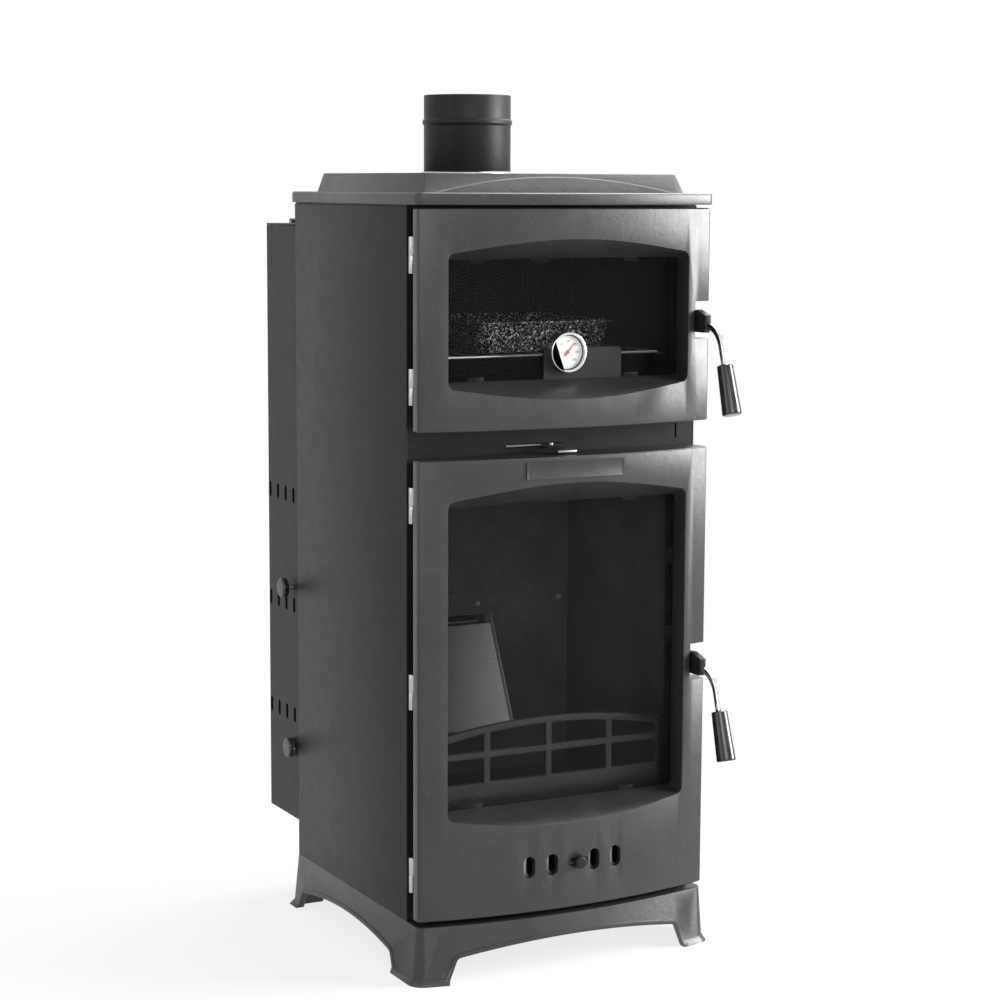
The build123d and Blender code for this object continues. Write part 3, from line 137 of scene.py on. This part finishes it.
def stove_paint(name, low, high, rough, gloss, grain_depth, specks):
    """Heat-proof paint: blotches, sandy grain, and tiny bright specks on a casting."""
    finish, tree, shader, place = start_finish(name)
    colour = shades(tree, grain(tree, place, 9.0, 5.0), low, high)
    if specks > 0:
        dots = shades(tree, grain(tree, place, 620.0, 2.0), (0, 0, 0), (1, 1, 1), 0.66, 0.80)
        colour = blended(tree, dots, colour, tuple(specks + c for c in high))
    tree.links.new(colour, shader.inputs["Base Color"])
    tree.links.new(spread(tree, grain(tree, place, 45.0), *rough), shader.inputs["Roughness"])
    shader.inputs["Specular IOR Level"].default_value = gloss
    coarse = relief(tree, shader, grain(tree, place, 110.0, 3.0), 0.4, grain_depth)
    relief(tree, shader, grain(tree, place, 520.0, 3.0), 0.6, grain_depth / 2, coarse)
    return finish


def bare_metal(name, low, high, rough, streaks, depth):
    """Uncoated metal with drawn or turned streaks."""
    finish, tree, shader, place = start_finish(name)
    lines = grain(tree, stretched(tree, place, streaks), 40.0, 4.0)
    stains = grain(tree, place, 22.0, 4.0)
    colour = blended(tree, stains, shades(tree, lines, low, high), high)
    tree.links.new(colour, shader.inputs["Base Color"])
    shader.inputs["Metallic"].default_value = 1.0
    tree.links.new(spread(tree, stains, *rough), shader.inputs["Roughness"])
    relief(tree, shader, lines, 0.3, depth)
    return finish


def sooted_lining():
    """Cast linings with soot clouds and a rough skin."""
    finish, tree, shader, place = start_finish("sooted_lining")
    clouds = grain(tree, place, 7.0, 6.0, 0.65)
    soot = shades(tree, clouds, (0.022, 0.021, 0.02), (0.085, 0.082, 0.08))
    tree.links.new(soot, shader.inputs["Base Color"])
    tree.links.new(spread(tree, clouds, 0.62, 0.9), shader.inputs["Roughness"])
    coarse = relief(tree, shader, grain(tree, place, 60.0, 4.0), 0.5, 0.0008)
    relief(tree, shader, grain(tree, place, 500.0, 3.0), 0.5, 0.0003, coarse)
    return finish


def glossy_black(name, rough, depth):
    """Moulded black with fine marks of handling."""
    finish, tree, shader, place = start_finish(name)
    marks = grain(tree, stretched(tree, place, (1, 1, 0.25)), 160.0, 4.0)
    colour = shades(tree, marks, (0.008, 0.008, 0.008), (0.02, 0.02, 0.021))
    tree.links.new(colour, shader.inputs["Base Color"])
    tree.links.new(spread(tree, marks, *rough), shader.inputs["Roughness"])
    relief(tree, shader, marks, 0.15, depth)
    return finish


def clear_glass(name, shade, alpha):
    """Polished pane, faintly marked."""
    finish, tree, shader, place = start_finish(name)
    smears = grain(tree, place, 14.0, 4.0)
    tree.links.new(spread(tree, smears, 0.02, 0.06), shader.inputs["Roughness"])
    shader.inputs["Base Color"].default_value = (*shade, 1)
    shader.inputs["Alpha"].default_value = alpha
    shader.inputs["Specular IOR Level"].default_value = 0.15
    shader.inputs["IOR"].default_value = 1.5
    return finish


def rope_cord():
    """Graphited glass-fibre rope, twisted."""
    finish, tree, shader, place = start_finish("rope_cord")
    twist = tree.nodes.new("ShaderNodeTexWave")
    twist.bands_direction = "DIAGONAL"
    twist.inputs["Scale"].default_value = 190.0
    twist.inputs["Distortion"].default_value = 3.0
    tree.links.new(place, twist.inputs["Vector"])
    tree.links.new(shades(tree, twist.outputs["Fac"], (0.02, 0.02, 0.02), (0.1, 0.1, 0.1), 0.1, 0.9),
                   shader.inputs["Base Color"])
    shader.inputs["Roughness"].default_value = 0.92
    shader.inputs["Sheen Weight"].default_value = 0.2
    under = relief(tree, shader, twist.outputs["Fac"], 0.7, 0.0006)
    relief(tree, shader, grain(tree, place, 1800.0), 0.5, 0.0002, under)
    return finish


def speckled_enamel():
    """Black enamel thrown over with white specks."""
    finish, tree, shader, place = start_finish("speckled_enamel")
    small = grain(tree, place, 420.0, 4.0, 0.7)
    large = grain(tree, place, 190.0, 2.0, 0.5)
    small_specks = shades(tree, small, (0, 0, 0), (1, 1, 1), 0.56, 0.59)
    large_specks = shades(tree, large, (0, 0, 0), (1, 1, 1), 0.66, 0.68)
    colour = blended(tree, small_specks, (0.006, 0.006, 0.007), (0.62, 0.63, 0.62))
    colour = blended(tree, large_specks, colour, (0.8, 0.8, 0.79))
    tree.links.new(colour, shader.inputs["Base Color"])
    shader.inputs["Roughness"].default_value = 0.14
    shader.inputs["Coat Weight"].default_value = 0.6
    relief(tree, shader, grain(tree, place, 90.0), 0.12, 0.0006)
    return finish


dial_x = 0.0135
dial_z = 0.880
dial_rim = 0.0231
tick_inner = 0.0195
tick_outer = 0.0222
tick_half_step = math.radians(4.5)
tick_half_width = math.radians(0.9)


def printed_dial():
    """White dial with black marks around its edge."""
    finish, tree, shader, place = start_finish("printed_dial")
    centre = stretched(tree, place, (1, 1, 1))
    centre.node.inputs["Location"].default_value = (-dial_x, 0, -dial_z)
    apart = tree.nodes.new("ShaderNodeSeparateXYZ")
    tree.links.new(centre, apart.inputs["Vector"])

    def sum_of(kind, first, second=None):
        step = tree.nodes.new("ShaderNodeMath")
        step.operation = kind
        for socket, value in zip(step.inputs, (first, second)):
            if isinstance(value, float):
                socket.default_value = value
            elif value is not None:
                tree.links.new(value, socket)
        return step.outputs["Value"]

    across = apart.outputs["X"]
    up = apart.outputs["Z"]
    radius = sum_of("SQRT", sum_of("ADD", sum_of("MULTIPLY", across, across), sum_of("MULTIPLY", up, up)))
    turn = sum_of("ARCTAN2", up, across)
    ticks = sum_of("LESS_THAN", sum_of("PINGPONG", turn, tick_half_step), tick_half_width)
    past_inner = sum_of("GREATER_THAN", radius, tick_inner)
    band = sum_of("MULTIPLY", past_inner, sum_of("LESS_THAN", radius, tick_outer))
    rim = sum_of("GREATER_THAN", radius, dial_rim)
    ink = sum_of("MAXIMUM", sum_of("MULTIPLY", ticks, band), rim)
    paper = shades(tree, grain(tree, place, 300.0), (0.76, 0.76, 0.74), (0.83, 0.83, 0.81))
    tree.links.new(blended(tree, ink, paper, (0.02, 0.02, 0.02)), shader.inputs["Base Color"])
    shader.inputs["Roughness"].default_value = 0.4
    relief(tree, shader, ink, 0.1, 0.00005)
    return finish


def red_lacquer():
    """Needle lacquer."""
    finish, tree, shader, place = start_finish("red_lacquer")
    tree.links.new(shades(tree, grain(tree, place, 600.0), (0.45, 0.012, 0.01), (0.6, 0.025, 0.02)),
                   shader.inputs["Base Color"])
    shader.inputs["Roughness"].default_value = 0.35
    relief(tree, shader, grain(tree, place, 1500.0), 0.1, 0.00005)
    return finish


finishes = {
    "cast": stove_paint("cast_paint", (0.019, 0.019, 0.020), (0.026, 0.026, 0.027), rough=(0.30, 0.38),
                        gloss=0.45, grain_depth=0.0005, specks=0.12),
    "sheet": stove_paint("sheet_paint", (0.012, 0.012, 0.013), (0.014, 0.014, 0.015), rough=(0.42, 0.47),
                         gloss=0.2, grain_depth=0.0001, specks=0),
    "black_sheet": stove_paint("black_paint", (0.008, 0.008, 0.008), (0.012, 0.012, 0.013), rough=(0.4, 0.5),
                               gloss=0.2, grain_depth=0.0002, specks=0),
    "bare_steel": bare_metal("bare_steel", (0.22, 0.22, 0.23), (0.34, 0.34, 0.34), rough=(0.36, 0.52),
                             streaks=(1, 1, 12), depth=0.0001),
    "bright_steel": bare_metal("bright_steel", (0.34, 0.34, 0.34), (0.48, 0.48, 0.48), rough=(0.2, 0.32),
                               streaks=(1, 1, 14), depth=0.0001),
    "chrome": bare_metal("chrome", (0.72, 0.72, 0.73), (0.8, 0.8, 0.81), rough=(0.08, 0.17),
                         streaks=(4, 4, 4), depth=0.00005),
    "grip": glossy_black("grip_black", (0.10, 0.2), 0.0002),
    "knob": glossy_black("knob_black", (0.16, 0.26), 0.0002),
    "glass": clear_glass("pane_glass", (0.012, 0.012, 0.013), 0.16),
    "lens": clear_glass("dial_glass", (0.3, 0.3, 0.3), 0.06),
    "dial": printed_dial(),
    "red": red_lacquer(),
    "enamel": speckled_enamel(),
    "rope": rope_cord(),
    "lining": sooted_lining(),
}

slot_of = {part["node"]: part["material_slot"] for part in frame["record"]["subparts"]}


def give_finish(piece, slot):
    """The finish of a record slot on every face of a piece."""
    piece.data.materials.clear()
    piece.data.materials.append(finishes[slot])


for name, node in nodes.items():
    give_finish(node, slot_of[name])


# Castings and turned pieces, their edges eased

def only(piece):
    """Makes one object the selection."""
    bpy.ops.object.select_all(action="DESELECT")
    piece.select_set(True)
    bpy.context.view_layer.objects.active = piece


def apply_bevel(piece, width, segments, angle):
    """Eases the sharp edges of a piece."""
    ease = piece.modifiers.new("eased_edges", "BEVEL")
    ease.width = width
    ease.segments = segments
    ease.limit_method = "ANGLE"
    ease.angle_limit = math.radians(angle)
    ease.use_clamp_overlap = True
    ease.harden_normals = False
    bpy.ops.object.modifier_apply(modifier=ease.name)


def eased(name, width, slot, angle=35.0, segments=2):
    """A copy of a CAD node with eased edges, which stands for it."""
    only(nodes[name])
    bpy.ops.object.duplicate()
    piece = bpy.context.view_layer.objects.active
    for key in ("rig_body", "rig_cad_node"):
        if key in piece:
            del piece[key]
    piece.parent = None
    piece.name = name + "_eased"
    only(piece)
    bpy.ops.object.mode_set(mode="EDIT")
    bpy.ops.mesh.select_all(action="SELECT")
    bpy.ops.mesh.remove_doubles(threshold=0.00001)
    bpy.ops.mesh.dissolve_limited(angle_limit=math.radians(0.5))
    bpy.ops.object.mode_set(mode="OBJECT")
    if width > 0:
        apply_bevel(piece, width, segments, angle)
    bpy.ops.object.shade_smooth_by_angle(angle=math.radians(angle))
    give_finish(piece, slot)
    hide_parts(name)
    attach(piece, nodes[name]["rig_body"])


eased_width = {
    "oven_door": 0.0012,
    "fire_door": 0.0012,
    "top_casting": 0.0015,
    "base_casting": 0.0015,
    "log_fence": 0.0012,
    "side_panels": 0.0006,
    "flue_pipe": 0.0005,
    "flue_collar": 0.0003,
    "oven_handle_hub": 0.0010,
    "fire_handle_hub": 0.0010,
    "oven_handle_lever": 0.0,
    "fire_handle_lever": 0.0,
    "oven_handle_grip": 0.0,
    "fire_handle_grip": 0.0,
    "oven_handle_pin": 0.0004,
    "fire_handle_pin": 0.0004,
    "thermometer_case": 0.0002,
    "air_slide_knob": 0.0,
    "gate_knob": 0.0,
    "air_shutter_knob": 0.0,
    "baking_tray": 0.0005,
    "hopper_lid": 0.0008,
    "damper_slide": 0.0003,
    "chute_plate": 0.0003,
    "oven_door_knuckles": 0.0003,
    "fire_door_knuckles": 0.0003,
    "frame_knuckles": 0.0003,
    "latch_catches": 0.0004,
    "oven_door_seal": 0.0,
    "fire_door_seal": 0.0,
    "oven_shelf": 0.0,
    "hinge_pins": 0.0003,
    "lid_pins": 0.0003,
    "ash_drawer": 0.0004,
    "grate": 0.0006,
}

for name, width in eased_width.items():
    eased(name, width, slot_of[name])

clip_ease = 0.0003
for name in ("oven_glass_clips", "fire_glass_clips"):
    eased(name, clip_ease, "black_sheet")


# Bare plate on the fire door

bow_centre_x = 0.004
bow_centre_y = 0.725
bow_radius = 0.97514
plate_half = 0.078
plate_low = 0.7085
plate_high = 0.7325
plate_proud = 0.0020
plate_sunk = 0.0010
plate_rim = 0.0016
plate_inset = 0.0009
plate_slack = 0.0002
plate_ease = 0.0004
plate_steps = 28


def name_plate():
    """Plain raised plate with a rim, its section spun along the door's bow."""
    half_turn = math.asin(plate_half / bow_radius)
    reach = bow_radius + (plate_proud - plate_sunk) / 2
    end_x = bow_centre_x - reach * math.sin(half_turn)
    end_y = bow_centre_y - reach * math.cos(half_turn)
    facing = math.atan2(-math.cos(half_turn), -math.sin(half_turn))
    bpy.ops.object.select_all(action="DESELECT")
    bpy.ops.mesh.primitive_plane_add(size=1, location=(end_x, end_y, (plate_low + plate_high) / 2),
                                     rotation=(math.radians(90), 0, facing))
    plate = bpy.context.view_layer.objects.active
    plate.name = "name_plate"
    plate.scale = (plate_proud + plate_sunk, plate_high - plate_low, 1)
    bpy.ops.object.transform_apply(location=True, rotation=True, scale=True)
    bpy.ops.object.mode_set(mode="EDIT")
    bpy.ops.mesh.select_mode(type="EDGE")
    bpy.ops.mesh.select_all(action="SELECT")
    bpy.ops.mesh.spin(steps=plate_steps, angle=-2 * half_turn,
                      center=(bow_centre_x, bow_centre_y, 0), axis=(0, 0, 1))
    bpy.ops.mesh.select_all(action="SELECT")
    bpy.ops.mesh.normals_make_consistent(inside=False)
    bpy.ops.mesh.select_mode(type="FACE")
    bpy.ops.mesh.select_all(action="DESELECT")
    bpy.ops.object.mode_set(mode="OBJECT")
    for face in plate.data.polygons:
        across = face.center.x - bow_centre_x
        back = face.center.y - bow_centre_y
        on_front = math.hypot(across, back) > bow_radius + plate_proud - plate_slack
        face.select = on_front and abs(face.normal.z) < 0.5
    bpy.ops.object.mode_set(mode="EDIT")
    bpy.ops.mesh.inset(thickness=plate_rim, depth=-plate_inset)
    bpy.ops.object.mode_set(mode="OBJECT")
    apply_bevel(plate, plate_ease, segments=2, angle=50.0)
    bpy.ops.object.shade_smooth_by_angle(angle=math.radians(35))
    give_finish(plate, "cast")
    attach(plate, "fire_door")


name_plate()


# Numbers on the thermometer

dial_face_y = -0.2033
number_ring = 0.0152
number_size = 0.0052
number_count = 7
number_step = 50
first_turn = 225.0
last_turn = -45.0


def dial_numbers():
    """Thin raised numbers around the dial."""
    for count in range(number_count):
        turn = math.radians(first_turn + (last_turn - first_turn) * count / (number_count - 1))
        bpy.ops.object.select_all(action="DESELECT")
        bpy.ops.object.text_add(location=(0, 0, 0))
        number = bpy.context.view_layer.objects.active
        number.data.body = str(number_step * count)
        number.data.size = number_size
        number.data.align_x = "CENTER"
        number.data.align_y = "CENTER"
        number.data.extrude = 0.00005
        bpy.ops.object.convert(target="MESH")
        number = bpy.context.view_layer.objects.active
        number.name = "dial_number_" + str(number_step * count)
        number.rotation_euler = (math.radians(90), 0, 0)
        across = number_ring * math.cos(turn)
        up = number_ring * math.sin(turn)
        number.location = (dial_x + across, dial_face_y, dial_z + up)
        bpy.ops.object.transform_apply(location=True, rotation=True, scale=True)
        give_finish(number, "black_sheet")
        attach(number, "oven_door")


dial_numbers()


# Camera, at the photograph's place

def place_camera():
    """Camera fitted to the photograph."""
    yaw = math.radians(27.45)
    pitch = math.radians(7.42)
    roll = math.radians(-0.25)
    ahead = Vector((math.sin(yaw) * math.cos(pitch), math.cos(yaw) * math.cos(pitch), -math.sin(pitch)))
    right = Vector((math.cos(yaw), -math.sin(yaw), 0))
    down = -right.cross(ahead)
    right_rolled = right * math.cos(roll) + down * math.sin(roll)
    down_rolled = down * math.cos(roll) - right * math.sin(roll)
    data = bpy.data.cameras.new("photo_camera")
    data.lens = 86.816
    data.sensor_width = 36.0
    data.shift_y = -0.00164
    data.clip_end = 100.0
    camera = bpy.data.objects.new("photo_camera", data)
    turn = Matrix((right_rolled, -down_rolled, -ahead)).transposed()
    stand = Vector((-1.63244, -3.16783, 1.11375))
    camera.matrix_world = Matrix.Translation(stand) @ turn.to_4x4()
    bpy.context.scene.collection.objects.link(camera)
    bpy.context.scene.camera = camera


place_camera()


# Studio

def soft_light(name, place, aim, size, power):
    """Square soft box aimed at a point."""
    data = bpy.data.lights.new(name, "AREA")
    data.shape = "RECTANGLE"
    data.size = size[0]
    data.size_y = size[1]
    data.energy = power
    lamp = bpy.data.objects.new(name, data)
    lamp.location = place
    lamp.rotation_euler = (Vector(aim) - Vector(place)).to_track_quat("-Z", "Y").to_euler()
    bpy.context.scene.collection.objects.link(lamp)


soft_light("right_box", (2.8, -1.6, 1.5), (0.1, -0.2, 0.8), (1.5, 1.9), 235)
soft_light("left_box", (-3.4, -0.6, 1.7), (0, 0, 0.6), (1.8, 2.4), 16)
soft_light("front_box", (-1.6, -4.2, 2.2), (0, 0, 0.5), (2.4, 1.6), 55)
soft_light("top_box", (1.5, 0.6, 3.0), (0, -0.1, 0.4), (2.2, 2.2), 130)


floor_size = 16
shadow_near = 0.35
shadow_far = 1.1
near_share = 0.80
far_share = 1.0
world_light = 0.35


def shown_white(tree):
    """One for the rays that show the background, and none for those that light the stove."""
    path = tree.nodes.new("ShaderNodeLightPath")
    seen = path.outputs["Is Camera Ray"]
    for ray in ("Is Glossy Ray", "Is Transmission Ray"):
        either = tree.nodes.new("ShaderNodeMath")
        either.operation = "MAXIMUM"
        tree.links.new(seen, either.inputs[0])
        tree.links.new(path.outputs[ray], either.inputs[1])
        seen = either.outputs["Value"]
    return seen


def floor_finish():
    """White floor that keeps a soft shadow near the stove."""
    finish, tree, shader, place = start_finish("studio_floor")
    shader.inputs["Base Color"].default_value = (0.9, 0.9, 0.9, 1)
    shader.inputs["Roughness"].default_value = 0.9
    away = tree.nodes.new("ShaderNodeVectorMath")
    away.operation = "LENGTH"
    tree.links.new(place, away.inputs[0])
    fade = tree.nodes.new("ShaderNodeMapRange")
    fade.inputs["From Min"].default_value = shadow_near
    fade.inputs["From Max"].default_value = shadow_far
    fade.inputs["To Min"].default_value = near_share
    fade.inputs["To Max"].default_value = far_share
    tree.links.new(away.outputs["Value"], fade.inputs["Value"])
    share = tree.nodes.new("ShaderNodeMath")
    share.operation = "MULTIPLY"
    tree.links.new(shown_white(tree), share.inputs[0])
    tree.links.new(fade.outputs["Result"], share.inputs[1])
    glow = tree.nodes.new("ShaderNodeEmission")
    glow.inputs["Color"].default_value = (1, 1, 1, 1)
    mix = tree.nodes.new("ShaderNodeMixShader")
    tree.links.new(share.outputs["Value"], mix.inputs["Fac"])
    tree.links.new(shader.outputs["BSDF"], mix.inputs[1])
    tree.links.new(glow.outputs["Emission"], mix.inputs[2])
    tree.links.new(mix.outputs["Shader"], tree.nodes["Material Output"].inputs["Surface"])
    return finish


bpy.ops.object.select_all(action="DESELECT")
bpy.ops.mesh.primitive_plane_add(size=floor_size, location=(0, 0, 0))
floor = bpy.context.view_layer.objects.active
floor.name = "studio_floor"
floor.data.materials.append(floor_finish())


def white_world():
    """Soft light from all sides, shown as plain white."""
    world = bpy.data.worlds.new("studio_world")
    bpy.context.scene.world = world
    world.use_nodes = True
    sky = world.node_tree
    lit = sky.nodes["Background"]
    lit.inputs["Color"].default_value = (1, 1, 1, 1)
    lit.inputs["Strength"].default_value = world_light
    shown = sky.nodes.new("ShaderNodeBackground")
    shown.inputs["Color"].default_value = (1, 1, 1, 1)
    shown.inputs["Strength"].default_value = 1.0
    mix = sky.nodes.new("ShaderNodeMixShader")
    sky.links.new(shown_white(sky), mix.inputs["Fac"])
    sky.links.new(lit.outputs["Background"], mix.inputs[1])
    sky.links.new(shown.outputs["Background"], mix.inputs[2])
    sky.links.new(mix.outputs["Shader"], sky.nodes["World Output"].inputs["Surface"])


white_world()

bpy.context.scene.view_settings.view_transform = "Standard"
